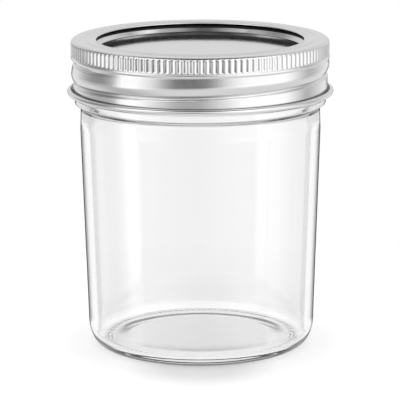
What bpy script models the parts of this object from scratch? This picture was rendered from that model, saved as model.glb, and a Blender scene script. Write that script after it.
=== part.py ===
"""A small preserving jar: tapered glass, a stepped lid disc, its sealing ring and a knurled screw band.

Metres, +Z up. The origin is on the jar's axis at the surface that it stands on.
"""

from math import asin, cos, degrees, pi, radians, sin, sqrt, tan

import bmesh
import bpy

# Faceting
SEGMENTS = 60  # points round a plain turned surface
STEP = 360 / SEGMENTS  # degrees between two of them

# Fits
CONTACT_GAP = 0.0003  # between two pieces that touch
THREAD_CLEARANCE = 0.0003  # along the axis, between the glass thread and the band's
CUT_OVERRUN = 0.0002  # how far a cutter stands out of the sheet it cuts

# Glass jar: the sizes that the rest follows
JAR_HEIGHT = 0.08565
NECK_RADIUS = 0.0341

# Glass jar: body
BODY_INSET = 0.00005  # of the body's top from the neck
BODY_TAPER = 0.0018  # of the radius, from the body's top to the heel
HEEL_WIDTH = 0.00475
HEEL_HEIGHT = 0.0075
FOOT_RING_WIDTH = 0.0020
PUSH_UP_HEIGHT = 0.0005
PUSH_UP_EDGE_WIDTH = 0.0060
PUSH_UP_CROWN = 0.0002
WALL_THICKNESS = 0.0026
FLOOR_HEIGHT = 0.0026  # of the inside, at the edge of its flat
FLOOR_CROWN = 0.0007
INNER_HEEL_WIDTH = 0.0022
INNER_HEEL_HEIGHT = 0.0030

# Glass jar: shoulder ring, neck and rim
FINISH_DEPTH = 0.01375  # from the rim to the shoulder ring's top
RING_HEIGHT = 0.0029  # of the shoulder ring, from its waist
RING_REACH = 0.0014  # beyond the neck
RING_EDGE_HEIGHT = 0.0018
RING_ROUND = 0.0004
WAIST_INSET = 0.0002  # from the body's top
WAIST_LENGTH = 0.0065
NECK_WALL = 0.00395
BORE_DEPTH = 0.0125
RIM_OUTER_ROUND = 0.0016
RIM_INNER_ROUND = 0.0010

# Threads: one pitch for the glass and the band
PITCH = 0.00578
FLANK_SLOPE = 0.7  # along the axis for each step away from the crest
GLASS_THREAD_HEIGHT = 0.00125
GLASS_CREST_WIDTH = 0.0012
GLASS_ROOT_BURIED = 0.0006
GLASS_THREAD_DROP = 0.0034  # from the rim to the thread's upper end
GLASS_THREAD_END = 108  # degrees from +X
GLASS_THREAD_TURN = 438  # degrees
GLASS_FADE = 24  # degrees over which it runs out at each end

# Lid disc
DISC_SHEET = 0.00025
DISC_OVERHANG = 0.00005  # beyond the neck
DISC_EDGE_ROUND = 0.0007
DISC_EDGE_DROP = 0.0017
PANEL_DROP = 0.0021
PANEL_CLEARANCE = 0.0017  # of its flat from the bore
PANEL_FILLET = 0.0005
PANEL_BROW_ROUND = 0.0029
PANEL_SLOPE = 52  # degrees, of the step's straight part

# Sealing ring
SEAL_THICKNESS = 0.0009
SEAL_CROWN = 0.00025
SEAL_LAP = 0.0006  # of its inner edge under the brow

# Screw band
SHEET = 0.0003
FLANGE_OVERLAP = 0.00485  # over the disc
WALL_CLEARANCE = 0.0008  # of the wall from the glass thread's crest
SHOULDER_ROUND = 0.0012
KNURL_COUNT = 136
KNURL_PROUD = 0.00005  # of the crests, beyond the wall
KNURL_DEPTH = 0.00033
KNURL_TOP_DROP = 0.0006
KNURL_FOOT_DROP = 0.0044
KNURL_RUN_OUT = 0.0004
KNURL_BORDER = 0.0006
CURL_RADIUS = 0.00075
CURL_TURN = 268  # degrees
BAND_REST_GAP = 0.0005  # above the glass shoulder ring
BAND_CREST_INSET = 0.0007  # of the groove's inner crest, from the glass thread's crest
GROOVE_FLOOR_WIDTH = 0.0005
GROOVE_TOP_DROP = 0.00533  # from the flange's top to the groove's upper end
GROOVE_FOOT_SPACE = 0.00128  # from its lower end to the curl
GROOVE_FADE = 48  # degrees

# Sizes and places that follow
BODY_TOP_RADIUS = NECK_RADIUS - BODY_INSET
BODY_FOOT_RADIUS = BODY_TOP_RADIUS - BODY_TAPER
FOOT_RADIUS = BODY_FOOT_RADIUS - HEEL_WIDTH
FLOOR_RADIUS = BODY_FOOT_RADIUS - WALL_THICKNESS - INNER_HEEL_WIDTH
RING_TOP_HEIGHT = JAR_HEIGHT - FINISH_DEPTH
WAIST_HEIGHT = RING_TOP_HEIGHT - RING_HEIGHT
BODY_TOP_HEIGHT = WAIST_HEIGHT - WAIST_LENGTH
RING_RADIUS = NECK_RADIUS + RING_REACH
WAIST_RADIUS = BODY_TOP_RADIUS - WAIST_INSET
BORE_RADIUS = NECK_RADIUS - NECK_WALL
DISC_RADIUS = NECK_RADIUS + DISC_OVERHANG
PANEL_RADIUS = BORE_RADIUS - PANEL_CLEARANCE
PANEL_ROUNDS = PANEL_FILLET + PANEL_BROW_ROUND
PANEL_STRAIGHT = PANEL_DROP - PANEL_ROUNDS * (1 - cos(radians(PANEL_SLOPE)))
BROW_RUN = PANEL_ROUNDS * sin(radians(PANEL_SLOPE)) + PANEL_STRAIGHT / tan(radians(PANEL_SLOPE))
BROW_RADIUS = PANEL_RADIUS + BROW_RUN
FLANGE_OPENING_RADIUS = DISC_RADIUS - FLANGE_OVERLAP
SEAL_FOOT = JAR_HEIGHT + CONTACT_GAP
DISC_UNDERSIDE = SEAL_FOOT + SEAL_THICKNESS + CONTACT_GAP
DISC_TOP = DISC_UNDERSIDE + DISC_SHEET
BAND_TOP = DISC_TOP + CONTACT_GAP + SHEET
BAND_FOOT = RING_TOP_HEIGHT + BAND_REST_GAP
BAND_HEIGHT = BAND_TOP - BAND_FOOT
GLASS_CREST_RADIUS = NECK_RADIUS + GLASS_THREAD_HEIGHT
WALL_RADIUS = GLASS_CREST_RADIUS + WALL_CLEARANCE + SHEET
BAND_RADIUS = WALL_RADIUS + KNURL_PROUD
BAND_CREST_RADIUS = GLASS_CREST_RADIUS - BAND_CREST_INSET
GROOVE_FLOOR_RADIUS = BAND_CREST_RADIUS + SHEET
BAND_CREST_WIDTH = GROOVE_FLOOR_WIDTH + 2 * SHEET * (sqrt(1 + FLANK_SLOPE**2) - FLANK_SLOPE)
# The band's thread hooks under the glass thread, so it lies this far below it.
THREAD_OFFSET = (
    (BAND_CREST_WIDTH + GLASS_CREST_WIDTH) / 2 + BAND_CREST_INSET * FLANK_SLOPE + THREAD_CLEARANCE
)
# Below the flange's top: the band's thread at GLASS_THREAD_END, and the lower end of its groove.
BAND_THREAD_DROP = BAND_TOP - JAR_HEIGHT + GLASS_THREAD_DROP + THREAD_OFFSET
GROOVE_FOOT_DROP = BAND_HEIGHT - 2 * CURL_RADIUS - GROOVE_FOOT_SPACE
# Both ends of the groove lie on a facet's edge, in degrees from +X.
STEPS_TO_END = GLASS_THREAD_END / STEP
STEPS_PER_RISE = SEGMENTS / PITCH
GROOVE_START = STEP * round(STEPS_TO_END + STEPS_PER_RISE * (BAND_THREAD_DROP - GROOVE_FOOT_DROP))
GROOVE_END = STEP * round(STEPS_TO_END + STEPS_PER_RISE * (BAND_THREAD_DROP - GROOVE_TOP_DROP))
GROOVE_TURN = GROOVE_END - GROOVE_START


def clear_scene():
    for obj in list(bpy.data.objects):
        bpy.data.objects.remove(obj, do_unlink=True)


def mixed(first, second, share):
    return first + (second - first) * share


def arc(centre, size, start, end, steps):
    """Points on an ellipse round centre, between two angles in degrees from the outward radius."""
    turns = [radians(mixed(start, end, i / steps)) for i in range(steps + 1)]
    return [(centre[0] + size[0] * cos(a), centre[1] + size[1] * sin(a)) for a in turns]


def ring_points(radius, height, count, dip):
    """One ring. With a dip, every second point lies that much nearer the axis."""
    if radius == 0:
        return [(0, 0, height)]
    points = []
    for i in range(count):
        turn = 2 * pi * i / count
        reach = radius - dip * (i % 2)
        points.append((reach * cos(turn), reach * sin(turn), height))
    return points


def bridge(mesh, low, high):
    """Faces between two rings, which may have unlike counts."""
    if len(low) == len(high):
        for i in range(len(low)):
            j = (i + 1) % len(low)
            mesh.faces.new((low[i], low[j], high[j], high[i]))
        return
    i, j = 0, 0
    while (i < len(low) and len(low) > 1) or (j < len(high) and len(high) > 1):
        low_next = (i + 1) / len(low) if len(low) > 1 and i < len(low) else 2
        high_next = (j + 1) / len(high) if len(high) > 1 and j < len(high) else 2
        a, b = low[i % len(low)], high[j % len(high)]
        if low_next <= high_next:
            i += 1
            mesh.faces.new((a, low[i % len(low)], b))
        else:
            j += 1
            mesh.faces.new((a, high[j % len(high)], b))


def object_of(name, mesh, location=(0, 0, 0), material=None):
    """A smooth-shaded object from a bmesh."""
    bmesh.ops.recalc_face_normals(mesh, faces=mesh.faces)
    data = bpy.data.meshes.new(name)
    mesh.to_mesh(data)
    mesh.free()
    data.shade_smooth()
    data.set_sharp_from_angle(angle=radians(30))
    obj = bpy.data.objects.new(name, data)
    obj.location = location
    bpy.context.scene.collection.objects.link(obj)
    if material:
        data.materials.append(material)
    return obj


def turned(name, profile, location, material, closed):
    """A turned solid. A profile point is (radius, height) or (radius, height, count, dip)."""
    mesh = bmesh.new()
    rings = []
    for point in profile:
        radius, height, count, dip = point if len(point) == 4 else (*point, SEGMENTS, 0)
        rings.append([mesh.verts.new(p) for p in ring_points(radius, height, count, dip)])
    pairs = list(zip(rings, rings[1:]))
    if closed:
        pairs.append((rings[-1], rings[0]))
    for low, high in pairs:
        bridge(mesh, low, high)
    return object_of(name, mesh, location, material)


def helix_sweep(name, start, turn, height_at, section_at):
    """A closed helical bar, with one section every STEP degrees from start. It is a guide for a Boolean."""
    mesh = bmesh.new()
    steps = round(turn / STEP)
    rows = []
    for i in range(steps + 1):
        angle = start + i * STEP
        height = height_at(angle)
        row = []
        for radius, rise in section_at(angle):
            point = (radius * cos(radians(angle)), radius * sin(radians(angle)), height + rise)
            row.append(mesh.verts.new(point))
        rows.append(row)
    for low, high in zip(rows, rows[1:]):
        for i in range(len(low)):
            j = (i + 1) % len(low)
            mesh.faces.new((low[i], low[j], high[j], high[i]))
    mesh.faces.new(rows[0])
    mesh.faces.new(rows[-1])
    obj = object_of(name, mesh)
    obj.hide_render = True
    obj.display_type = "WIRE"
    return obj


def boolean(obj, other, operation):
    modifier = obj.modifiers.new(operation.lower() + "_" + other.name, "BOOLEAN")
    modifier.operation = operation
    modifier.solver = "EXACT"
    modifier.object = other


def faded(angle, start, turn, fade):
    """0 at both ends of a thread, 1 along its middle, with an even rise between."""
    share = min(angle - start, start + turn - angle) / fade
    return max(0, min(1, share))


def glass_thread_height(angle):
    """World height of the glass thread's middle at an angle in degrees."""
    return JAR_HEIGHT - GLASS_THREAD_DROP + PITCH * (angle - GLASS_THREAD_END) / 360


def band_thread_height(angle):
    """The same for the band's thread, from the flange's top."""
    return PITCH * (angle - GLASS_THREAD_END) / 360 - BAND_THREAD_DROP


def bar_section(root, crest, crest_width):
    """Four corners of a bar with sloping flanks between a root and a crest radius."""
    half = crest_width / 2
    root_half = half + abs(root - crest) * FLANK_SLOPE
    return [(root, -root_half), (crest, -half), (crest, half), (root, root_half)]


def glass_thread_section(angle):
    start = GLASS_THREAD_END - GLASS_THREAD_TURN
    share = faded(angle, start, GLASS_THREAD_TURN, GLASS_FADE)
    root = NECK_RADIUS - GLASS_ROOT_BURIED
    crest = mixed(NECK_RADIUS - GLASS_ROOT_BURIED / 2, GLASS_CREST_RADIUS, share)
    return bar_section(root, crest, GLASS_CREST_WIDTH)


def band_ridge_section(angle):
    """The inward side of the rolled groove. Its root lies within the sheet."""
    share = faded(angle, GROOVE_START, GROOVE_TURN, GROOVE_FADE)
    root = WALL_RADIUS - SHEET / 4
    crest = mixed(root - SHEET / 2, BAND_CREST_RADIUS, share)
    return bar_section(root, crest, BAND_CREST_WIDTH)


def band_groove_section(angle):
    """The outward side of the rolled groove, a sheet's thickness out from its inward side."""
    share = faded(angle, GROOVE_START, GROOVE_TURN, GROOVE_FADE)
    root = WALL_RADIUS + CUT_OVERRUN
    floor_radius = mixed(root - CUT_OVERRUN / 2, GROOVE_FLOOR_RADIUS, share)
    return bar_section(root, floor_radius, GROOVE_FLOOR_WIDTH)


def jar_profile():
    """From the middle of the underside, out and up to the rim, then down the inside to the floor."""
    foot_inner = FOOT_RADIUS - FOOT_RING_WIDTH
    underside = [
        (0, PUSH_UP_HEIGHT + PUSH_UP_CROWN),
        ((foot_inner - PUSH_UP_EDGE_WIDTH) / 2, PUSH_UP_HEIGHT + PUSH_UP_CROWN * 3 / 4),
        (foot_inner - PUSH_UP_EDGE_WIDTH, PUSH_UP_HEIGHT),
        (foot_inner - PUSH_UP_EDGE_WIDTH / 3, PUSH_UP_HEIGHT / 3),
        (foot_inner, 0),
    ]
    heel_size = (BODY_FOOT_RADIUS - FOOT_RADIUS, HEEL_HEIGHT)
    heel = arc((FOOT_RADIUS, HEEL_HEIGHT), heel_size, -90, 0, 6)
    ring_lower = RING_TOP_HEIGHT - RING_EDGE_HEIGHT
    shoulder = [
        (BODY_TOP_RADIUS, BODY_TOP_HEIGHT),
        (WAIST_RADIUS, WAIST_HEIGHT),
        (mixed(WAIST_RADIUS, RING_RADIUS, 3 / 5), mixed(WAIST_HEIGHT, ring_lower, 1 / 2)),
        (RING_RADIUS, ring_lower),
        (RING_RADIUS, RING_TOP_HEIGHT - RING_ROUND),
        (RING_RADIUS - RING_ROUND, RING_TOP_HEIGHT),
        (NECK_RADIUS, RING_TOP_HEIGHT),
    ]
    outer_centre = (NECK_RADIUS - RIM_OUTER_ROUND, JAR_HEIGHT - RIM_OUTER_ROUND)
    inner_centre = (BORE_RADIUS + RIM_INNER_ROUND, JAR_HEIGHT - RIM_INNER_ROUND)
    rim = arc(outer_centre, (RIM_OUTER_ROUND, RIM_OUTER_ROUND), 0, 90, 3)
    rim += arc(inner_centre, (RIM_INNER_ROUND, RIM_INNER_ROUND), 90, 180, 3)
    inner_top = BODY_TOP_RADIUS - WALL_THICKNESS
    inner_foot = BODY_FOOT_RADIUS - WALL_THICKNESS
    heel_top = FLOOR_HEIGHT + INNER_HEEL_HEIGHT
    bore_foot = JAR_HEIGHT - BORE_DEPTH
    inside = [
        (BORE_RADIUS, bore_foot),
        (mixed(BORE_RADIUS, inner_top, 1 / 4), mixed(bore_foot, BODY_TOP_HEIGHT, 1 / 3)),
        (mixed(BORE_RADIUS, inner_top, 3 / 4), mixed(bore_foot, BODY_TOP_HEIGHT, 2 / 3)),
        (inner_top, BODY_TOP_HEIGHT),
    ]
    inner_heel_size = (inner_foot - FLOOR_RADIUS, INNER_HEEL_HEIGHT)
    inner_heel = arc((FLOOR_RADIUS, heel_top), inner_heel_size, 0, -90, 6)
    floor_points = [
        (FLOOR_RADIUS / 2, FLOOR_HEIGHT + FLOOR_CROWN * 3 / 4),
        (0, FLOOR_HEIGHT + FLOOR_CROWN),
    ]
    return underside + heel + shoulder + rim + inside + inner_heel + floor_points


def disc_profile():
    """The stamped lid from the middle of its top out to the edge, and back along the underside."""
    sheet, fillet, brow = DISC_SHEET, PANEL_FILLET, PANEL_BROW_ROUND
    panel = -PANEL_DROP
    fillet_centre = (PANEL_RADIUS, panel + fillet)
    brow_centre = (BROW_RADIUS, -brow)
    top = [(0, panel)]
    top += arc(fillet_centre, (fillet, fillet), -90, PANEL_SLOPE - 90, 2)
    top += arc(brow_centre, (brow, brow), PANEL_SLOPE + 90, 90, 4)
    edge_centre = (DISC_RADIUS - DISC_EDGE_ROUND, -DISC_EDGE_ROUND)
    top += arc(edge_centre, (DISC_EDGE_ROUND, DISC_EDGE_ROUND), 90, 0, 2)
    top.append((DISC_RADIUS, -DISC_EDGE_DROP))
    inner_edge = DISC_EDGE_ROUND - sheet
    under = [(DISC_RADIUS - sheet, -DISC_EDGE_DROP)]
    under += arc(edge_centre, (inner_edge, inner_edge), 0, 90, 2)
    under += arc(brow_centre, (brow - sheet, brow - sheet), 90, PANEL_SLOPE + 90, 4)
    under += arc(fillet_centre, (fillet + sheet, fillet + sheet), PANEL_SLOPE - 90, -90, 2)
    under.append((0, panel - sheet))
    return top + under


def seal_profile():
    """The compound fills the channel under the disc's raised ring, with a slight crown towards the glass."""
    brow_under = PANEL_BROW_ROUND - DISC_SHEET
    inner = BROW_RADIUS - SEAL_LAP
    inner_top = SEAL_THICKNESS - brow_under + sqrt(brow_under**2 - SEAL_LAP**2)
    outer = DISC_RADIUS - DISC_EDGE_ROUND - CONTACT_GAP / 2
    middle = (inner + outer) / 2
    half = (outer - inner) / 2
    return [
        (inner, inner_top),
        (inner, SEAL_CROWN),
        (middle - half / 2, SEAL_CROWN / 4),
        (middle, 0),
        (middle + half / 2, SEAL_CROWN / 4),
        (outer, SEAL_CROWN),
        (outer, SEAL_THICKNESS),
        (BROW_RADIUS, SEAL_THICKNESS),
    ]


def band_profile():
    """Down the outside from the flange's opening to the curled edge, and back up the inside."""
    knurls = 2 * KNURL_COUNT
    shoulder_centre = (BAND_RADIUS - SHOULDER_ROUND, -SHOULDER_ROUND)
    knurl_start = degrees(asin(1 - KNURL_TOP_DROP / SHOULDER_ROUND))
    shoulder = arc(shoulder_centre, (SHOULDER_ROUND, SHOULDER_ROUND), 90, knurl_start, 3)
    shoulder_radius, shoulder_height = shoulder[-1]
    outside = [(FLANGE_OPENING_RADIUS, -SHEET), (FLANGE_OPENING_RADIUS, 0)] + shoulder[:-1]
    outside += [
        (shoulder_radius, shoulder_height, knurls, KNURL_DEPTH / 3),
        (BAND_RADIUS, -SHOULDER_ROUND - KNURL_RUN_OUT, knurls, KNURL_DEPTH),
        (BAND_RADIUS, KNURL_RUN_OUT - KNURL_FOOT_DROP, knurls, KNURL_DEPTH),
        (BAND_RADIUS, -KNURL_FOOT_DROP),
        (WALL_RADIUS, -KNURL_FOOT_DROP - KNURL_BORDER),
    ]
    curl_inner = CURL_RADIUS - SHEET
    wall_inner = WALL_RADIUS - SHEET
    curl_centre = (wall_inner + CURL_RADIUS, CURL_RADIUS - BAND_HEIGHT)
    outside += arc(curl_centre, (curl_inner, curl_inner), 180, 180 + CURL_TURN, 7)
    inside = arc(curl_centre, (CURL_RADIUS, CURL_RADIUS), 180 + CURL_TURN, 180, 8)
    grip_inner = BAND_RADIUS - KNURL_DEPTH - SHEET
    inner_round = SHOULDER_ROUND - SHEET
    inside += [
        (wall_inner, -KNURL_FOOT_DROP - KNURL_BORDER),
        (grip_inner, -KNURL_FOOT_DROP),
    ]
    inner_centre = (grip_inner - inner_round, -SHOULDER_ROUND)
    inside += arc(inner_centre, (inner_round, inner_round), 0, 90, 3)
    return outside + inside


def material(name, colour, metallic, roughness, transmission=0):
    made = bpy.data.materials.new(name)
    made.use_nodes = True
    shader = made.node_tree.nodes["Principled BSDF"]
    shader.inputs["Base Color"].default_value = (*colour, 1)
    shader.inputs["Metallic"].default_value = metallic
    shader.inputs["Roughness"].default_value = roughness
    shader.inputs["Transmission Weight"].default_value = transmission
    made.diffuse_color = (*colour, 1 - transmission * 2 / 3)
    return made


def make_glass_jar():
    glass = material("clear_glass", (0.95, 0.96, 0.96), 0, 0.02, 1)
    jar = turned("glass_jar", jar_profile(), (0, 0, 0), glass, False)
    start = GLASS_THREAD_END - GLASS_THREAD_TURN
    thread = helix_sweep(
        "glass_thread_guide", start, GLASS_THREAD_TURN, glass_thread_height, glass_thread_section
    )
    boolean(jar, thread, "UNION")
    return jar


def make_lid():
    tinplate = material("disc_tinplate", (0.80, 0.80, 0.80), 1, 0.15)
    disc = turned("lid_disc", disc_profile(), (0, 0, DISC_TOP), tinplate, False)
    compound = material("sealing_compound", (0.55, 0.55, 0.53), 0, 0.6)
    seal = turned("sealing_ring", seal_profile(), (0, 0, SEAL_FOOT - DISC_TOP), compound, True)
    seal.parent = disc
    return disc


def make_screw_band():
    axis = bpy.data.objects.new("band_axis", None)
    axis.location = (0, 0, BAND_TOP)
    bpy.context.scene.collection.objects.link(axis)
    tinplate = material("band_tinplate", (0.82, 0.82, 0.82), 1, 0.25)
    band = turned("screw_band", band_profile(), (0, 0, 0), tinplate, True)
    ridge = helix_sweep(
        "band_ridge_guide", GROOVE_START, GROOVE_TURN, band_thread_height, band_ridge_section
    )
    groove = helix_sweep(
        "band_groove_cutter", GROOVE_START, GROOVE_TURN, band_thread_height, band_groove_section
    )
    for obj in (band, ridge, groove):
        obj.parent = axis
    boolean(band, ridge, "UNION")
    boolean(band, groove, "DIFFERENCE")
    return axis


def main():
    clear_scene()
    make_glass_jar()
    make_lid()
    make_screw_band()


main()
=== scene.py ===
"""The looks of a small preserving jar.

Clear glass, a stepped lid disc, its sealing ring and a knurled screw band. Metres, +Z up, in the frame
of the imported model. Each piece has the main shape of its solid, with finer detail.
"""

from math import cos, floor, radians, sin, sqrt, tan

import bmesh
import bpy
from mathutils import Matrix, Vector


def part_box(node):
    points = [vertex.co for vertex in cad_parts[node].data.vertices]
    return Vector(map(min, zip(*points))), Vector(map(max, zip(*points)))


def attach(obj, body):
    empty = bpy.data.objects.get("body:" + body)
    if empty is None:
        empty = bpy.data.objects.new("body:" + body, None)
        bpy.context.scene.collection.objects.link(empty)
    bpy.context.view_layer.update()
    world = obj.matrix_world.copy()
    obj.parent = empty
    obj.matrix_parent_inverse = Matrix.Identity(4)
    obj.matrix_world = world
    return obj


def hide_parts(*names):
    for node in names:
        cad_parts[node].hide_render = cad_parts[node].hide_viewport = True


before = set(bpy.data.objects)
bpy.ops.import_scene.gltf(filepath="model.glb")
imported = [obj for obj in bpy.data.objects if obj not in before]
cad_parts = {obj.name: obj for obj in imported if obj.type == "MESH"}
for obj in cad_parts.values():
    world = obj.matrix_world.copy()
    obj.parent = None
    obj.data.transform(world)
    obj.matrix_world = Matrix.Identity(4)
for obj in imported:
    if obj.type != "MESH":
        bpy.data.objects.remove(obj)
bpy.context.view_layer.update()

# Faceting
GLASS_COLUMNS = 384
DISC_COLUMNS = 288
KNURL_COUNT = 136
BAND_COLUMNS = 2 * KNURL_COUNT
KNURL_COLUMNS = 14 * KNURL_COUNT
BASE_STEPS = 8
HEEL_STEPS = 20
WALL_STEPS = 12
WAIST_STEPS = 6
SHOULDER_STEPS = 10
RING_EDGE_STEPS = 3
RING_ROUND_STEPS = 4
RIM_STEPS = 6
BORE_SLOPE_STEPS = 14
PANEL_STEPS = 12
FILLET_STEPS = 8
BROW_STEPS = 14
DISC_EDGE_STEPS = 8
UNDER_FILLET_STEPS = 6
UNDER_BROW_STEPS = 10
UNDER_EDGE_STEPS = 6
FLAT_STEPS = 4
SEAL_STEPS = 12
FLANGE_ROUND_STEPS = 6
BEAD_STEPS = 12
CURL_STEPS = 16

# Places read from the frame
JAR_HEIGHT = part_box("glass_jar")[1].z
DISC_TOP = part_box("lid_disc")[1].z
DISC_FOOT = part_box("lid_disc")[0].z
DISC_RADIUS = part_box("lid_disc")[1].x
SEAL_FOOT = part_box("sealing_ring")[0].z
SEAL_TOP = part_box("sealing_ring")[1].z
SEAL_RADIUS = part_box("sealing_ring")[1].x
BAND_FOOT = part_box("screw_band")[0].z
BAND_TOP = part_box("screw_band")[1].z
BAND_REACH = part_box("screw_band")[1].x

# Glass jar: body
BODY_TOP_RADIUS = 0.03405
BODY_FOOT_RADIUS = 0.03225
HEEL_WIDTH = 0.00475
HEEL_HEIGHT = 0.0075
FOOT_RING_WIDTH = 0.0020
PUSH_UP_HEIGHT = 0.0005
PUSH_UP_EDGE_WIDTH = 0.0060
PUSH_UP_CROWN = 0.0002
WALL_THICKNESS = 0.0026
FLOOR_HEIGHT = 0.0026
FLOOR_CROWN = 0.0007
INNER_HEEL_WIDTH = 0.0022
INNER_HEEL_HEIGHT = 0.0030
STIPPLE_COUNT = 96
STIPPLE_DEPTH = 0.00012

# Glass jar: shoulder ring, neck and rim
NECK_RADIUS = 0.0341
FINISH_DEPTH = 0.01375
RING_HEIGHT = 0.0029
RING_REACH = 0.0014
RING_EDGE_HEIGHT = 0.0018
RING_ROUND = 0.0004
WAIST_INSET = 0.0002
WAIST_LENGTH = 0.0065
NECK_WALL = 0.00395
BORE_DEPTH = 0.0125
RIM_OUTER_ROUND = 0.0016
RIM_INNER_ROUND = 0.0010
NECK_ROW_HEIGHT = 0.0003

# Threads
PITCH = 0.00578
GLASS_THREAD_HEIGHT = 0.00125
GLASS_CREST_WIDTH = 0.0010
GLASS_FLANK_WIDTH = 0.0010
GLASS_THREAD_DROP = 0.0034
GLASS_THREAD_END = 108  # degrees from +X
GLASS_THREAD_TURN = 438  # degrees
GLASS_FADE = 24  # degrees
THREAD_OFFSET = 0.0022  # of the band's groove, below the glass thread
MOST_TURNS = 4  # that are looked through for a thread

# Lid disc
DISC_SHEET = 0.00025
DISC_EDGE_ROUND = 0.0007
PANEL_DROP = 0.0021
PANEL_RADIUS = 0.02845
PANEL_FILLET = 0.0005
PANEL_BROW_ROUND = 0.0029
PANEL_SLOPE = 52  # degrees, of the step's straight part
PANEL_ROUNDS = PANEL_FILLET + PANEL_BROW_ROUND
PANEL_STRAIGHT = PANEL_DROP - PANEL_ROUNDS * (1 - cos(radians(PANEL_SLOPE)))
BROW_RUN = PANEL_ROUNDS * sin(radians(PANEL_SLOPE)) + PANEL_STRAIGHT / tan(radians(PANEL_SLOPE))
BROW_RADIUS = PANEL_RADIUS + BROW_RUN
SEAL_CROWN = 0.00025
SEAL_LAP = 0.0006  # of its inner edge under the brow

# Screw band
SHEET = 0.0003
BAND_RADIUS = 0.0365
FLANGE_OPENING_RADIUS = 0.0293
OPENING_ROUND = 0.0003
FLANGE_RINGS = (0.0303, 0.0326)  # radii of the fine rings pressed into the flange
FLANGE_RING_WIDTH = 0.0005
FLANGE_RING_DEPTH = 0.00015
SHOULDER_ROUND = 0.0012
KNURL_DEPTH = 0.00022
KNURL_TOP_DROP = 0.0006
KNURL_FOOT_DROP = 0.0044
KNURL_RUN_OUT = 0.0004
KNURL_BORDER = 0.0011  # height of the bead below the knurls
KNURL_NOTCH = 0.0002  # between the knurls and the bead
BORDER_REACH = 0.00032  # of the bead's round
BORDER_TURN = 45  # degrees above its widest place, where the bead's round starts
WALL_RADIUS = 0.03645
SKIRT_INSET = 0.0005  # of the skirt below the groove, from the wall
GROOVE_DEPTH = 0.00115
GROOVE_SLOPE_HEIGHT = 0.0030
GROOVE_FLANK_HEIGHT = 0.00065
GROOVE_SOFT_FLANK_HEIGHT = 0.0016  # where it runs out
LEAN_HEIGHT = 0.0024  # over which the wall leans in above the bulge
LEAN_DEPTH = 0.0004
GROOVE_START = -222  # degrees from +X, at its lower end
GROOVE_TURN = 468  # degrees
GROOVE_FADE = 48  # degrees
WALL_ROW_HEIGHT = 0.00015
CURL_TURN = 268  # degrees
CURL_HEIGHT_SHARE = 0.8  # of its width

# Materials: a grain is its scale, the share of it that counts along Z and the strength of its bump
GLASS_TINT = (0.985, 0.99, 0.985)
GLASS_IOR = 1.52
DISC_GREY = (0.68, 0.68, 0.68)
DISC_METALLIC = 0.97
DISC_ROUGHNESS = (0.07, 0.11)
DISC_GRAIN = (900, 1, 0.01)
BAND_GREY = (0.70, 0.70, 0.70)
BAND_ROUGHNESS = (0.16, 0.24)
BAND_GRAIN = (2200, 0.06, 0.08)
GRAIN_DETAIL = 3
GRAIN_RANGE = (0.3, 0.7)  # the noise values that give the least and the most roughness
BUMP_DISTANCE = 0.0001
UNDERSIDE_PAINTED_SHADE_GREY = 0.03  # painted shade: near black on the underside of the band's flange
UNDERSIDE_PAINTED_SHADE_DEPTH = 0.0012  # of the painted shade, below the band's top
UNDERSIDE_PAINTED_SHADE_FACING = -0.5  # Z of a normal that faces down
SEAL_COLOUR = (0.55, 0.55, 0.53)
SEAL_ROUGHNESS = 0.6
SEAL_GRAIN_SCALE = 900
SEAL_BUMP = 0.3

# Table top
FLOOR_RADIUS = 0.12
FLOOR_COLUMNS = 96
FLOOR_WHITE = 0.9
# Radius and level of the light that the table top gives to the camera, besides what falls on it. It is
# higher round the jar's foot than far off: painted light that lightens the jar's shadow there
FLOOR_GLOW = (
    (0, 0.5),
    (0.0285, 0.5),
    (0.031, 0.36),
    (0.036, 0.3),
    (0.045, 0.32),
    (0.07, 0.3),
    (0.12, 0.25),
)
# The same, as seen through the glass. It is strongest under and round the jar's foot: painted light that
# lightens the jar's shadow seen through the glass
FLOOR_GLOW_IN_GLASS = (
    (0, 0.6),
    (0.025, 0.62),
    (0.0285, 0.62),
    (0.031, 0.55),
    (0.036, 0.35),
    (0.05, 0.14),
    (0.12, 0.12),
)
# A painted shadow on the table top in front of the jar, fixed there whatever the light or pose: its middle,
# and what it takes from that light
FRONT_SHADE_CENTRE = (0, -0.030, 0)
FRONT_SHADE = ((0, 0.22), (0.010, 0.2), (0.022, 0))

# Studio, as seen in metal and glass: widths are azimuths in degrees from the camera's side, +X positive,
# and heights are elevations in degrees
WORLD_LIGHT = 1.0  # that falls on everything else
# The front and the sides of the room are dimmer than the white backdrop behind the jar
ROOM_LEVEL = 0.55
ROOM_WIDTH = ((-140, 0), (-110, 1), (110, 1), (140, 0))
# A softbox at each side in front, both of one kind
SOFTBOX_LEVEL = 1.5
LEFT_SOFTBOX_WIDTH = ((-84, 0), (-76, 1), (-60, 1), (-20, 0))
RIGHT_SOFTBOX_WIDTH = ((0, 0), (40, 1), (80, 1), (110, 0))
# A dimmer stripe across them, which the flat top of the lid mirrors from other sides
SOFTBOX_TOP_HEIGHT = ((9, 0), (12, 0.5), (20, 0.5), (24, 0))
# The gap between them, with the camera in it
CAMERA_GAP_WIDTH = ((-42, 0), (-24, 0.6), (6, 0.6), (24, 0))
CAMERA_GAP_HEIGHT = ((-6, 0), (0, 1), (20, 1), (26, 0))
# The white table under the jar, with a shaded part at the left
TABLE_LEVEL = 0.93
TABLE_SHADE_LEVEL = 0.6
TABLE_SHADE_WIDTH = ((-120, 0), (-95, 1), (-80, 1), (-45, 0))
TABLE_HEIGHT = ((-90, 1), (-24, 1), (-15, 0), (90, 0))
# The ceiling, which is dark on every side: what it takes from the light
CEILING_HEIGHT = ((-90, 0), (54, 0), (60, 0.6), (67, 0.68), (74, 0.92), (90, 0.92))
# The upper part of the backdrop, which is a little dimmer
BACKDROP_WIDTH = ((-150, 1), (-120, 0), (120, 0), (150, 1))
BACKDROP_HEIGHT = ((-4, 0), (6, 0.17), (60, 0.17), (80, 0))
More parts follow.
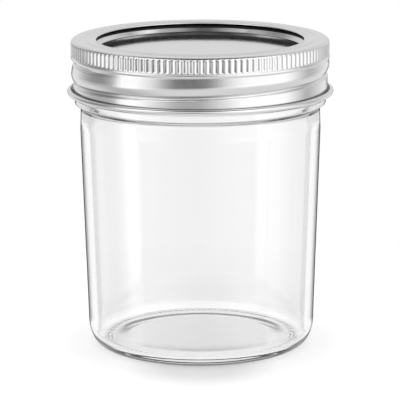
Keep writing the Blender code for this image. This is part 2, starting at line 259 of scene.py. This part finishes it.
# A bright screen above the camera
SCREEN_LEVEL = 0.8
SCREEN_WIDTH = ((-70, 0), (-45, 1), (45, 1), (70, 0))
SCREEN_HEIGHT = ((22, 0), (28, 1), (44, 1), (52, 0))
# A dark doorway at the left
DOOR_WIDTH = ((-150, 0), (-128, 0.5), (-100, 0.5), (-80, 0))
DOOR_HEIGHT = ((-4, 0), (3, 1), (40, 1), (50, 0))
# Heights at which rays that pass straight through the glass see an even white, on every side
THROUGH_HEIGHT = ((-50, 0), (-40, 1), (0, 1), (8, 0))
# What the reflections inside the glass see low in front of the jar
INNER_LEVEL = 0.33
INNER_WIDTH = ((-64, 0), (-63, 1), (73, 1), (74, 0))
INNER_HEIGHT = ((-30, 0), (-22, 1), (-4, 1), (2, 0))
# A black flag low behind the jar, which only mirrored rays see. It draws the edges of the glass
FLAG_WIDTH = ((-180, 0.9), (-165, 0.9), (-158, 0), (158, 0), (165, 0.9), (180, 0.9))
FLAG_HEIGHT = ((-26, 0), (-20, 1), (-4, 1), (0, 0))

# Camera
CAMERA_LENS = 241.2
CAMERA_PLACE = (-0.0002, -0.7478, 0.2036)
CAMERA_PITCH = 12.25  # degrees below the horizon
CAMERA_ROLL = 0.22  # degrees


def mixed(first, second, share):
    """A value between first and second."""
    return first + (second - first) * share


def eased(share):
    """A smooth rise from 0 to 1."""
    share = max(0, min(1, share))
    return share * share * (3 - 2 * share)


def arc(centre, size, start, end, steps):
    """Points on an ellipse round centre, between two angles in degrees from the outward radius."""
    turns = [radians(mixed(start, end, i / steps)) for i in range(steps + 1)]
    return [(centre[0] + size[0] * cos(a), centre[1] + size[1] * sin(a)) for a in turns]


def line(start, end, steps):
    """Points from start to end, without start."""
    shares = [i / steps for i in range(1, steps + 1)]
    return [(mixed(start[0], end[0], share), mixed(start[1], end[1], share)) for share in shares]


def plain(points, count):
    """Rows of a turned surface: each is (count, place), where place gives radius and height at an angle."""
    return [(count, lambda angle, point=point: point) for point in points]


def bridge(mesh, low, high):
    """Faces between two rings, which may have unlike counts."""
    if len(low) == len(high):
        for i in range(len(low)):
            j = (i + 1) % len(low)
            mesh.faces.new((low[i], low[j], high[j], high[i]))
        return
    i, j = 0, 0
    while (i < len(low) and len(low) > 1) or (j < len(high) and len(high) > 1):
        low_next = (i + 1) / len(low) if len(low) > 1 and i < len(low) else 2
        high_next = (j + 1) / len(high) if len(high) > 1 and j < len(high) else 2
        a, b = low[i % len(low)], high[j % len(high)]
        if low_next <= high_next:
            i += 1
            mesh.faces.new((a, low[i % len(low)], b))
        else:
            j += 1
            mesh.faces.new((a, high[j % len(high)], b))


def turned(name, rows, closed):
    """A turned solid whose rows may vary with the angle."""
    mesh = bmesh.new()
    rings = []
    for count, place in rows:
        ring = []
        if place(0)[0] == 0:
            count = 1
        for i in range(count):
            angle = 360 * i / count
            radius, height = place(angle)
            turn = radians(angle)
            ring.append(mesh.verts.new((radius * cos(turn), radius * sin(turn), height)))
        rings.append(ring)
    pairs = list(zip(rings, rings[1:]))
    if closed:
        pairs.append((rings[-1], rings[0]))
    for low, high in pairs:
        bridge(mesh, low, high)
    bmesh.ops.recalc_face_normals(mesh, faces=mesh.faces)
    data = bpy.data.meshes.new(name)
    mesh.to_mesh(data)
    mesh.free()
    data.shade_smooth()
    obj = bpy.data.objects.new(name, data)
    bpy.context.scene.collection.objects.link(obj)
    return obj


def dress(obj, material, body, node):
    """The piece stands for its node: it takes its material, moves with its body and the node's part is
    hidden.
    """
    obj.data.materials.append(material)
    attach(obj, body)
    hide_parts(node)


def faded(angle, start, turn, fade):
    """0 at both ends of a thread, 1 along its middle."""
    return eased(min(angle - start, start + turn - angle) / fade)


def glass_thread_height(angle):
    """Height of the glass thread's middle at an angle in degrees."""
    return JAR_HEIGHT - GLASS_THREAD_DROP + PITCH * (angle - GLASS_THREAD_END) / 360


def thread_angles(angle, start, turn):
    """The angles along a thread that lie above or below one another at an angle from 0 to 360."""
    first = angle + 360 * floor((start - angle) / 360)
    return [a for a in (first + 360 * i for i in range(MOST_TURNS)) if start <= a <= start + turn]


def neck_place(angle, height):
    """The glass neck, with its rounded thread."""
    start = GLASS_THREAD_END - GLASS_THREAD_TURN
    rise = 0
    for along in thread_angles(angle, start, GLASS_THREAD_TURN):
        off = abs(height - glass_thread_height(along)) - GLASS_CREST_WIDTH / 2
        share = eased(1 - off / GLASS_FLANK_WIDTH) * faded(along, start, GLASS_THREAD_TURN, GLASS_FADE)
        rise = max(rise, share)
    return NECK_RADIUS + GLASS_THREAD_HEIGHT * rise, height


def stipple_share(angle):
    """0 on a bump of the stippled ring and 1 between two bumps."""
    return (1 - cos(radians(angle) * STIPPLE_COUNT)) / 2


def underside_rows():
    """From the middle of the pushed-up bottom to the stippled ring that the jar stands on."""
    foot_radius = BODY_FOOT_RADIUS - HEEL_WIDTH
    foot_inner = foot_radius - FOOT_RING_WIDTH
    dome_radius = foot_inner - PUSH_UP_EDGE_WIDTH
    top = PUSH_UP_HEIGHT + PUSH_UP_CROWN
    points = [(0, top)]
    for i in range(1, BASE_STEPS + 1):
        share = i / BASE_STEPS
        points.append((dome_radius * share, top - PUSH_UP_CROWN * share * share))
    for i in range(1, BASE_STEPS + 1):
        share = i / BASE_STEPS
        points.append((dome_radius + PUSH_UP_EDGE_WIDTH * share, PUSH_UP_HEIGHT * (1 - eased(share))))
    rows = plain(points[:-1], GLASS_COLUMNS)
    for share in (0, 1 / 4, 1 / 2, 3 / 4, 1):
        radius = mixed(foot_inner, foot_radius, share)
        depth = STIPPLE_DEPTH * (1 - (2 * share - 1) ** 4)
        rows.append((GLASS_COLUMNS, lambda angle, r=radius, d=depth: (r, d * stipple_share(angle))))
    return rows


def glass_rows():
    """From the middle of the underside, out and up to the rim, then down the inside to the floor."""
    foot_radius = BODY_FOOT_RADIUS - HEEL_WIDTH
    ring_top = JAR_HEIGHT - FINISH_DEPTH
    ring_lower = ring_top - RING_EDGE_HEIGHT
    ring_radius = NECK_RADIUS + RING_REACH
    waist = (BODY_TOP_RADIUS - WAIST_INSET, ring_top - RING_HEIGHT)
    body_top = (BODY_TOP_RADIUS, waist[1] - WAIST_LENGTH)
    heel = arc((foot_radius, HEEL_HEIGHT), (HEEL_WIDTH, HEEL_HEIGHT), -90, 0, HEEL_STEPS)[1:]
    outside = heel + line(heel[-1], body_top, WALL_STEPS)
    outside += line(body_top, waist, WAIST_STEPS)
    for i in range(1, SHOULDER_STEPS + 1):
        share = i / SHOULDER_STEPS
        outside.append((mixed(waist[0], ring_radius, eased(share)), mixed(waist[1], ring_lower, share)))
    ring_centre = (ring_radius - RING_ROUND, ring_top - RING_ROUND)
    outside += line(outside[-1], (ring_radius, ring_centre[1]), RING_EDGE_STEPS)
    outside += arc(ring_centre, (RING_ROUND, RING_ROUND), 0, 90, RING_ROUND_STEPS)[1:]
    outside += line(outside[-1], (NECK_RADIUS, ring_top), RING_EDGE_STEPS)
    rows = underside_rows() + plain(outside, GLASS_COLUMNS)
    neck_top = JAR_HEIGHT - RIM_OUTER_ROUND
    neck_rows = round((neck_top - ring_top) / NECK_ROW_HEIGHT)
    for i in range(1, neck_rows + 1):
        height = mixed(ring_top, neck_top, i / neck_rows)
        rows.append((GLASS_COLUMNS, lambda angle, height=height: neck_place(angle, height)))
    return rows + plain(inside_points(body_top), GLASS_COLUMNS)


def inside_points(body_top):
    """The rim and the inside of the glass, down to the middle of the floor."""
    bore = NECK_RADIUS - NECK_WALL
    outer_centre = (NECK_RADIUS - RIM_OUTER_ROUND, JAR_HEIGHT - RIM_OUTER_ROUND)
    inner_centre = (bore + RIM_INNER_ROUND, JAR_HEIGHT - RIM_INNER_ROUND)
    points = arc(outer_centre, (RIM_OUTER_ROUND, RIM_OUTER_ROUND), 0, 90, RIM_STEPS)[1:]
    points += arc(inner_centre, (RIM_INNER_ROUND, RIM_INNER_ROUND), 90, 180, RIM_STEPS)
    bore_foot = JAR_HEIGHT - BORE_DEPTH
    points += line(points[-1], (bore, bore_foot), RIM_STEPS)
    inner_top = BODY_TOP_RADIUS - WALL_THICKNESS
    for i in range(1, BORE_SLOPE_STEPS + 1):
        share = i / BORE_SLOPE_STEPS
        points.append((mixed(bore, inner_top, eased(share)), mixed(bore_foot, body_top[1], share)))
    inner_foot = BODY_FOOT_RADIUS - WALL_THICKNESS
    heel_top = FLOOR_HEIGHT + INNER_HEEL_HEIGHT
    points += line(points[-1], (inner_foot, heel_top), WALL_STEPS)
    floor_radius = inner_foot - INNER_HEEL_WIDTH
    heel_size = (INNER_HEEL_WIDTH, INNER_HEEL_HEIGHT)
    points += arc((floor_radius, heel_top), heel_size, 0, -90, HEEL_STEPS)[1:]
    for i in range(1, BASE_STEPS + 1):
        share = 1 - i / BASE_STEPS
        points.append((floor_radius * share, FLOOR_HEIGHT + FLOOR_CROWN * (1 - share * share)))
    return points


def disc_rows():
    """The stamped lid from the middle of its top out to the edge, and back along the underside."""
    panel = DISC_TOP - PANEL_DROP
    sheet, fillet, brow = DISC_SHEET, PANEL_FILLET, PANEL_BROW_ROUND
    fillet_centre = (PANEL_RADIUS, panel + fillet)
    brow_centre = (BROW_RADIUS, DISC_TOP - brow)
    edge_centre = (DISC_RADIUS - DISC_EDGE_ROUND, DISC_TOP - DISC_EDGE_ROUND)
    top = [(0, panel)] + line((0, panel), (PANEL_RADIUS, panel), PANEL_STEPS)
    top += arc(fillet_centre, (fillet, fillet), -90, PANEL_SLOPE - 90, FILLET_STEPS)[1:]
    top += arc(brow_centre, (brow, brow), PANEL_SLOPE + 90, 90, BROW_STEPS)
    top += line(top[-1], (edge_centre[0], DISC_TOP), FLAT_STEPS)
    top += arc(edge_centre, (DISC_EDGE_ROUND, DISC_EDGE_ROUND), 90, 0, DISC_EDGE_STEPS)[1:]
    top.append((DISC_RADIUS, DISC_FOOT))
    inner_edge = DISC_EDGE_ROUND - sheet
    under = [(DISC_RADIUS - sheet, DISC_FOOT)]
    under += arc(edge_centre, (inner_edge, inner_edge), 0, 90, UNDER_EDGE_STEPS)
    under += arc(brow_centre, (brow - sheet, brow - sheet), 90, PANEL_SLOPE + 90, UNDER_BROW_STEPS)
    under_fillet = fillet + sheet
    under += arc(fillet_centre, (under_fillet, under_fillet), PANEL_SLOPE - 90, -90, UNDER_FILLET_STEPS)
    under.append((0, panel - sheet))
    return plain(top + under, DISC_COLUMNS)


def seal_rows():
    """The compound fills the channel under the disc's raised ring, with a crown towards the glass."""
    inner = BROW_RADIUS - SEAL_LAP
    brow_under = PANEL_BROW_ROUND - DISC_SHEET
    inner_top = SEAL_TOP - brow_under + sqrt(brow_under**2 - SEAL_LAP**2)
    points = [(inner, inner_top)]
    for i in range(SEAL_STEPS + 1):
        off = 2 * i / SEAL_STEPS - 1
        radius = mixed(inner, SEAL_RADIUS, i / SEAL_STEPS)
        points.append((radius, SEAL_FOOT + SEAL_CROWN * off * off))
    points += [(SEAL_RADIUS, SEAL_TOP), (BROW_RADIUS, SEAL_TOP)]
    return plain(points, DISC_COLUMNS)


def groove_height(angle):
    """Height of the band's groove, where it is deepest."""
    return glass_thread_height(angle) - THREAD_OFFSET


def wall_radius(angle, height):
    """The band's outside below the knurls: bulged above each turn of the groove, plain in the skirt."""
    dip, bared, share_below, lean = 0, 0, 0, 0
    skirts = []
    for along in thread_angles(angle, GROOVE_START, GROOVE_TURN):
        share = faded(along, GROOVE_START, GROOVE_TURN, GROOVE_FADE)
        off = height - groove_height(along)
        flank = mixed(GROOVE_SOFT_FLANK_HEIGHT, GROOVE_FLANK_HEIGHT, share)
        if off > 0:
            dip = max(dip, share * max(0, 1 - off / GROOVE_SLOPE_HEIGHT) ** 2)
        else:
            dip = max(dip, share * eased(1 + off / flank))
        skirts.append((share * eased(1 / 2 - off / flank), 1 - share_below))
        share_below = share
        lean = max(lean, share * max(0, min(1, (off - GROOVE_SLOPE_HEIGHT) / LEAN_HEIGHT)))
    for under, level in reversed(skirts):
        bared = mixed(bared, level, under)
    radius = WALL_RADIUS - SKIRT_INSET * bared
    depth = (GROOVE_DEPTH - SKIRT_INSET * bared) * dip
    return radius - (depth**3 + (LEAN_DEPTH * lean) ** 3) ** (1 / 3)


def band_rows():
    """Down the outside from the flange's opening to the curled edge, and back up the inside."""
    flange = [(FLANGE_OPENING_RADIUS, BAND_TOP - SHEET)]
    opening_centre = (FLANGE_OPENING_RADIUS + OPENING_ROUND, BAND_TOP - OPENING_ROUND)
    flange += arc(opening_centre, (OPENING_ROUND, OPENING_ROUND), 180, 90, FLANGE_ROUND_STEPS)
    for ring in FLANGE_RINGS:
        for step in (-1, -1 / 2, 0, 1 / 2, 1):
            radius = ring + FLANGE_RING_WIDTH / 2 * step
            flange.append((radius, BAND_TOP - FLANGE_RING_DEPTH * eased(1 - abs(step))))
    shoulder_centre = (BAND_RADIUS - SHOULDER_ROUND, BAND_TOP - SHOULDER_ROUND)
    flange += line(flange[-1], (shoulder_centre[0], BAND_TOP), FLAT_STEPS)
    rows = plain(flange, BAND_COLUMNS)
    rows += knurl_rows(shoulder_centre)
    border_top = BAND_TOP - KNURL_FOOT_DROP
    border_foot = border_top - KNURL_BORDER
    border_size = (BORDER_REACH, KNURL_BORDER / 2)
    border_centre = (BAND_RADIUS - BORDER_REACH, border_top - KNURL_BORDER / 2)
    rows += plain([(BAND_RADIUS, border_top)], BAND_COLUMNS)
    rows += plain([(BAND_RADIUS - KNURL_NOTCH, border_top - KNURL_NOTCH / 2)], BAND_COLUMNS)
    rows += plain(arc(border_centre, border_size, BORDER_TURN, -90, BEAD_STEPS), BAND_COLUMNS)
    curl_radius = (BAND_REACH - WALL_RADIUS + SKIRT_INSET + SHEET) / 2
    curl_rise = curl_radius * CURL_HEIGHT_SHARE
    wall_rows = round((border_foot - BAND_FOOT - curl_rise) / WALL_ROW_HEIGHT)
    heights = [mixed(border_foot, BAND_FOOT + curl_rise, i / wall_rows) for i in range(wall_rows + 1)]
    for height in heights:
        rows.append((BAND_COLUMNS, lambda angle, h=height: (wall_radius(angle, h), h)))
    curl_centre = (BAND_REACH - curl_radius, BAND_FOOT + curl_rise)
    inner_size = (curl_radius - SHEET, curl_rise - SHEET)
    curl_end = 180 + CURL_TURN
    curl = arc(curl_centre, inner_size, 180, curl_end, CURL_STEPS)[1:]
    curl += arc(curl_centre, (curl_radius, curl_rise), curl_end, 180, CURL_STEPS)[:-1]
    rows += plain(curl, BAND_COLUMNS)
    for height in reversed(heights):
        rows.append((BAND_COLUMNS, lambda angle, h=height: (wall_radius(angle, h) - SHEET, h)))
    grip_inner = BAND_RADIUS - KNURL_DEPTH - SHEET
    inner_round = SHOULDER_ROUND - SHEET
    under = [(grip_inner, border_top)]
    inner_centre = (grip_inner - inner_round, shoulder_centre[1])
    under += arc(inner_centre, (inner_round, inner_round), 0, 90, FLANGE_ROUND_STEPS)
    rows += plain(under, BAND_COLUMNS)
    return rows


def knurl_rows(shoulder_centre):
    """The rounded shoulder and the upright knurls that start on it."""
    rows = []
    for i in range(1, SHOULDER_STEPS + 1):
        turn = radians(90 - 90 * i / SHOULDER_STEPS)
        point = (
            shoulder_centre[0] + SHOULDER_ROUND * cos(turn),
            shoulder_centre[1] + SHOULDER_ROUND * sin(turn),
        )
        drop = BAND_TOP - point[1]
        depth = KNURL_DEPTH * eased((drop - KNURL_TOP_DROP + KNURL_RUN_OUT / 2) / KNURL_RUN_OUT)
        count = KNURL_COLUMNS if depth > 0 else BAND_COLUMNS
        rows.append((count, lambda angle, p=point, d=depth: (p[0] - d * knurl_share(angle), p[1])))
    foot = BAND_TOP - KNURL_FOOT_DROP
    for share in (1, 3 / 4, 1 / 2, 1 / 4, 0):
        height = foot + KNURL_RUN_OUT * share
        depth = KNURL_DEPTH * eased(share)
        rows.append((KNURL_COLUMNS, lambda angle, h=height, d=depth: knurled_place(angle, h, d)))
    return rows


def knurl_share(angle):
    """0 on a knurl's crest and 1 in the flute beside it."""
    return (1 - cos(radians(angle) * KNURL_COUNT)) / 2


def knurled_place(angle, height, depth):
    """The grip's outside, with flutes of a given depth."""
    return BAND_RADIUS - depth * knurl_share(angle), height


class Nodes:
    """A short way to write a node tree."""

    def __init__(self, tree, keep=False):
        self.tree = tree
        if not keep:
            tree.nodes.clear()

    def add(self, kind, inputs=None, **settings):
        node = self.tree.nodes.new(kind)
        for key, value in settings.items():
            setattr(node, key, value)
        for key, value in (inputs or {}).items():
            if isinstance(value, bpy.types.NodeSocket):
                self.tree.links.new(value, node.inputs[key])
            else:
                node.inputs[key].default_value = value
        return node

    def math(self, operation, *values):
        node = self.add("ShaderNodeMath", dict(enumerate(values)), operation=operation)
        return node.outputs[0]


def new_material(name):
    """An empty material, and the nodes to fill it."""
    made = bpy.data.materials.new(name)
    made.use_nodes = True
    return made, Nodes(made.node_tree)


def ramp(nodes, factor, stops):
    """A grey ramp through (place, level) stops."""
    node = nodes.add("ShaderNodeValToRGB", {"Fac": factor})
    elements = node.color_ramp.elements
    while len(elements) > 1:
        elements.remove(elements[-1])
    elements[0].position = stops[0][0]
    elements[0].color = (stops[0][1],) * 3 + (1,)
    for place, level in stops[1:]:
        element = elements.new(place)
        element.color = (level,) * 3 + (1,)
    return node.outputs[0]


def clear_glass():
    """Smooth glass with a very faint green tint."""
    made, nodes = new_material("clear_glass")
    shader = nodes.add(
        "ShaderNodeBsdfPrincipled",
        {"Base Color": (*GLASS_TINT, 1), "Roughness": 0, "IOR": GLASS_IOR, "Transmission Weight": 1},
    )
    nodes.add("ShaderNodeOutputMaterial", {"Surface": shader.outputs[0]})
    return made


def tinplate(name, colour, metal, roughness, grain):
    """Tinplate whose fine grain, which may be drawn out along Z, varies its gloss and its surface."""
    grain_scale, grain_stretch, grain_bump = grain
    made, nodes = new_material(name)
    place = nodes.add("ShaderNodeTexCoord").outputs["Object"]
    drawn = nodes.add("ShaderNodeMapping", {"Vector": place, "Scale": (1, 1, grain_stretch)}).outputs[0]
    noise = nodes.add(
        "ShaderNodeTexNoise",
        {"Vector": drawn, "Scale": grain_scale, "Detail": GRAIN_DETAIL},
    ).outputs[0]
    gloss = nodes.add(
        "ShaderNodeMapRange",
        {
            "Value": noise,
            "From Min": GRAIN_RANGE[0],
            "From Max": GRAIN_RANGE[1],
            "To Min": roughness[0],
            "To Max": roughness[1],
        },
    )
    bump = nodes.add(
        "ShaderNodeBump",
        {"Height": noise, "Strength": grain_bump, "Distance": BUMP_DISTANCE},
    )
    shader = nodes.add(
        "ShaderNodeBsdfPrincipled",
        {
            "Base Color": (*colour, 1),
            "Metallic": metal,
            "Roughness": gloss.outputs[0],
            "Normal": bump.outputs[0],
        },
    )
    nodes.add("ShaderNodeOutputMaterial", {"Surface": shader.outputs[0]})
    return made


def band_tinplate():
    """The band's metal, with painted shade: near black on the underside of its flange, which the lid disc
    mirrors.
    """
    made = tinplate("band_tinplate", BAND_GREY, 1, BAND_ROUGHNESS, BAND_GRAIN)
    nodes = Nodes(made.node_tree, keep=True)
    shader = next(node for node in made.node_tree.nodes if node.type == "BSDF_PRINCIPLED")
    geometry = nodes.add("ShaderNodeNewGeometry").outputs
    facing = nodes.add("ShaderNodeSeparateXYZ", {0: geometry["Normal"]}).outputs["Z"]
    place = nodes.add("ShaderNodeTexCoord").outputs["Object"]
    height = nodes.add("ShaderNodeSeparateXYZ", {0: place}).outputs["Z"]
    # Painted shade: the flange's underside, facing down near the band's top, is coloured near black
    below = nodes.math("LESS_THAN", facing, UNDERSIDE_PAINTED_SHADE_FACING)
    high = nodes.math("GREATER_THAN", height, BAND_TOP - UNDERSIDE_PAINTED_SHADE_DEPTH)
    painted_shade = nodes.math("MULTIPLY", below, high)
    colour = ramp(nodes, painted_shade, ((0, BAND_GREY[0]), (1, UNDERSIDE_PAINTED_SHADE_GREY)))
    made.node_tree.links.new(colour, shader.inputs["Base Color"])
    return made


def sealing_compound():
    """Pale dull compound with a fine grain."""
    made, nodes = new_material("sealing_compound")
    place = nodes.add("ShaderNodeTexCoord").outputs["Object"]
    grain = nodes.add("ShaderNodeTexNoise", {"Vector": place, "Scale": SEAL_GRAIN_SCALE}).outputs[0]
    bump = nodes.add(
        "ShaderNodeBump",
        {"Height": grain, "Strength": SEAL_BUMP, "Distance": BUMP_DISTANCE},
    )
    shader = nodes.add(
        "ShaderNodeBsdfPrincipled",
        {"Base Color": (*SEAL_COLOUR, 1), "Roughness": SEAL_ROUGHNESS, "Normal": bump.outputs[0]},
    )
    nodes.add("ShaderNodeOutputMaterial", {"Surface": shader.outputs[0]})
    return made


def make_pieces():
    """The four pieces, each in place of its node."""
    jar = turned("jar_glass", glass_rows(), False)
    dress(jar, clear_glass(), "jar", "glass_jar")
    disc_metal = tinplate("disc_tinplate", DISC_GREY, DISC_METALLIC, DISC_ROUGHNESS, DISC_GRAIN)
    disc = turned("lid_panel", disc_rows(), False)
    dress(disc, disc_metal, "lid", "lid_disc")
    seal = turned("seal_ring", seal_rows(), True)
    dress(seal, sealing_compound(), "lid", "sealing_ring")
    band = turned("knurled_band", band_rows(), True)
    dress(band, band_tinplate(), "band", "screw_band")


def radius_ramp(nodes, place, stops, centre=(0, 0, 0)):
    """A ramp through (radius, level) stops round a point of the table top."""
    apart = nodes.add("ShaderNodeVectorMath", {0: place, 1: centre}, operation="DISTANCE")
    share = nodes.math("DIVIDE", apart.outputs["Value"], FLOOR_RADIUS)
    return ramp(nodes, share, [(radius / FLOOR_RADIUS, level) for radius, level in stops])


def floor_white():
    """A white that gives a set light to the camera and into the glass, less a painted shadow in front of
    the jar. Metal doesn't mirror it.
    """
    made, nodes = new_material("floor_white")
    place = nodes.add("ShaderNodeTexCoord").outputs["Object"]
    path = nodes.add("ShaderNodeLightPath").outputs
    # Painted shadow in front of the jar, taken off the table top's own light for the camera
    shade = radius_ramp(nodes, place, FRONT_SHADE, FRONT_SHADE_CENTRE)
    # The table top's own light by radius, higher near the jar: painted light on the jar's shadow
    plain_glow = nodes.math("SUBTRACT", radius_ramp(nodes, place, FLOOR_GLOW), shade)
    plain_glow = nodes.math("MAXIMUM", plain_glow, 0)
    # Through the glass this light is strongest under the jar: painted light on its shadow
    glass_glow = radius_ramp(nodes, place, FLOOR_GLOW_IN_GLASS)
    glow = nodes.math(
        "ADD",
        nodes.math("MULTIPLY", path["Is Camera Ray"], plain_glow),
        nodes.math("MULTIPLY", path["Is Transmission Ray"], glass_glow),
    )
    white = nodes.add("ShaderNodeBsdfDiffuse", {"Color": (FLOOR_WHITE, FLOOR_WHITE, FLOOR_WHITE, 1)})
    shine = nodes.add("ShaderNodeEmission", {"Strength": glow})
    both = nodes.add("ShaderNodeAddShader", {0: white.outputs[0], 1: shine.outputs[0]})
    mirrored = nodes.math("MINIMUM", path["Glossy Depth"], 1)
    clear = nodes.add("ShaderNodeBsdfTransparent")
    seen = nodes.add(
        "ShaderNodeMixShader",
        {0: mirrored, 1: both.outputs[0], 2: clear.outputs[0]},
    )
    nodes.add("ShaderNodeOutputMaterial", {"Surface": seen.outputs[0]})
    return made


def make_floor():
    """A white round table top under the jar. It keeps the jar's cast shadow, with painted light and a
    painted shadow added near the jar, and is plain white away from it.
    """
    mesh = bmesh.new()
    bmesh.ops.create_circle(mesh, cap_ends=True, segments=FLOOR_COLUMNS, radius=FLOOR_RADIUS)
    data = bpy.data.meshes.new("floor")
    mesh.to_mesh(data)
    mesh.free()
    obj = bpy.data.objects.new("floor", data)
    bpy.context.scene.collection.objects.link(obj)
    data.materials.append(floor_white())
    obj.visible_glossy = False


def share_of(turn):
    """A turn from -180 to 180 degrees as a share of the whole."""
    return (turn + 180) / 360


def turn_ramp(nodes, factor, stops, scale=1):
    """A ramp through (degrees, level) stops; heights run from -90 to 90 degrees and take a scale of 2."""
    return ramp(nodes, factor, [(share_of(scale * turn), level) for turn, level in stops])


def patch(nodes, sky, width, height):
    """A part of the studio with soft edges: its width round the jar times its height."""
    around, upward = sky
    return nodes.math("MULTIPLY", turn_ramp(nodes, around, width), turn_ramp(nodes, upward, height, 2))


def blend(nodes, first, second, share):
    """First where share is 0, second where it is 1."""
    return nodes.math("MULTIPLY_ADD", share, nodes.math("SUBTRACT", second, first), first)


def without(nodes, level, share):
    """The level less a share of it."""
    return nodes.math("MULTIPLY", level, nodes.math("SUBTRACT", 1, share))


def sky_directions(nodes):
    """Where a ray goes: its azimuth and its elevation, each as a share of its range."""
    toward = nodes.add("ShaderNodeTexCoord").outputs["Generated"]
    axes = nodes.add("ShaderNodeSeparateXYZ", {0: toward}).outputs
    front = nodes.math("MULTIPLY", axes["Y"], -1)
    azimuth = nodes.math("DEGREES", nodes.math("ARCTAN2", axes["X"], front))
    elevation = nodes.math("DEGREES", nodes.math("ARCSINE", axes["Z"]))
    turn = {"Value": azimuth, "From Min": -180, "From Max": 180}
    rise = {"Value": elevation, "From Min": -90, "From Max": 90}
    around = nodes.add("ShaderNodeMapRange", turn).outputs[0]
    upward = nodes.add("ShaderNodeMapRange", rise).outputs[0]
    return around, upward


def room_level(nodes, sky):
    """The white backdrop, the dimmer rest of the room, the softboxes and the camera's gap."""
    around, upward = sky
    level = blend(nodes, 1, ROOM_LEVEL, turn_ramp(nodes, around, ROOM_WIDTH))
    boxes = nodes.math(
        "ADD",
        turn_ramp(nodes, around, LEFT_SOFTBOX_WIDTH),
        turn_ramp(nodes, around, RIGHT_SOFTBOX_WIDTH),
    )
    boxes = without(nodes, boxes, turn_ramp(nodes, upward, SOFTBOX_TOP_HEIGHT, 2))
    level = blend(nodes, level, SOFTBOX_LEVEL, boxes)
    return without(nodes, level, patch(nodes, sky, CAMERA_GAP_WIDTH, CAMERA_GAP_HEIGHT))


def studio_level(nodes, sky):
    """The whole studio as the metal mirrors it."""
    around, upward = sky
    shade = turn_ramp(nodes, around, TABLE_SHADE_WIDTH)
    table = blend(nodes, TABLE_LEVEL, TABLE_SHADE_LEVEL, shade)
    level = blend(nodes, room_level(nodes, sky), table, turn_ramp(nodes, upward, TABLE_HEIGHT, 2))
    screen = patch(nodes, sky, SCREEN_WIDTH, SCREEN_HEIGHT)
    level = nodes.math("ADD", level, nodes.math("MULTIPLY", screen, SCREEN_LEVEL))
    level = without(nodes, level, turn_ramp(nodes, upward, CEILING_HEIGHT, 2))
    level = without(nodes, level, patch(nodes, sky, DOOR_WIDTH, DOOR_HEIGHT))
    return without(nodes, level, patch(nodes, sky, BACKDROP_WIDTH, BACKDROP_HEIGHT))


def seen_level(nodes, sky, path, level):
    """The studio as rays see it that were mirrored or have passed through the glass."""
    upward = sky[1]
    after_mirror = nodes.math("MINIMUM", path["Glossy Depth"], 1)
    flag = nodes.math("MULTIPLY", patch(nodes, sky, FLAG_WIDTH, FLAG_HEIGHT), after_mirror)
    level = without(nodes, level, flag)
    inner = nodes.math("MULTIPLY", after_mirror, path["Transmission Depth"])
    inner = nodes.math("MINIMUM", inner, 1)
    inner = nodes.math("MULTIPLY", inner, patch(nodes, sky, INNER_WIDTH, INNER_HEIGHT))
    level = blend(nodes, level, INNER_LEVEL, inner)
    straight = nodes.math("SUBTRACT", 1, after_mirror)
    through = nodes.math("MULTIPLY", path["Is Transmission Ray"], straight)
    through = nodes.math("MULTIPLY", through, turn_ramp(nodes, upward, THROUGH_HEIGHT, 2))
    return blend(nodes, level, 1, through)


def make_world():
    """White for the camera and for light that falls on things, and the studio in metal and glass."""
    world = bpy.data.worlds.new("studio")
    bpy.context.scene.world = world
    world.use_nodes = True
    nodes = Nodes(world.node_tree)
    sky = sky_directions(nodes)
    path = nodes.add("ShaderNodeLightPath").outputs
    level = seen_level(nodes, sky, path, studio_level(nodes, sky))
    mirrored = nodes.math("MAXIMUM", path["Is Glossy Ray"], path["Is Transmission Ray"])
    strength = blend(nodes, WORLD_LIGHT, level, mirrored)
    strength = blend(nodes, strength, 1, path["Is Camera Ray"])
    background = nodes.add("ShaderNodeBackground", {"Color": (1, 1, 1, 1), "Strength": strength})
    nodes.add("ShaderNodeOutputWorld", {"Surface": background.outputs[0]})


def make_camera():
    """The photo's view."""
    data = bpy.data.cameras.new("camera")
    data.lens = CAMERA_LENS
    camera = bpy.data.objects.new("camera", data)
    camera.location = CAMERA_PLACE
    camera.rotation_euler = (radians(90 - CAMERA_PITCH), 0, 0)
    camera.rotation_euler.rotate_axis("Z", radians(-CAMERA_ROLL))
    bpy.context.scene.collection.objects.link(camera)
    bpy.context.scene.camera = camera


make_pieces()
make_floor()
make_world()
make_camera()
bpy.context.scene.view_settings.view_transform = "Standard"
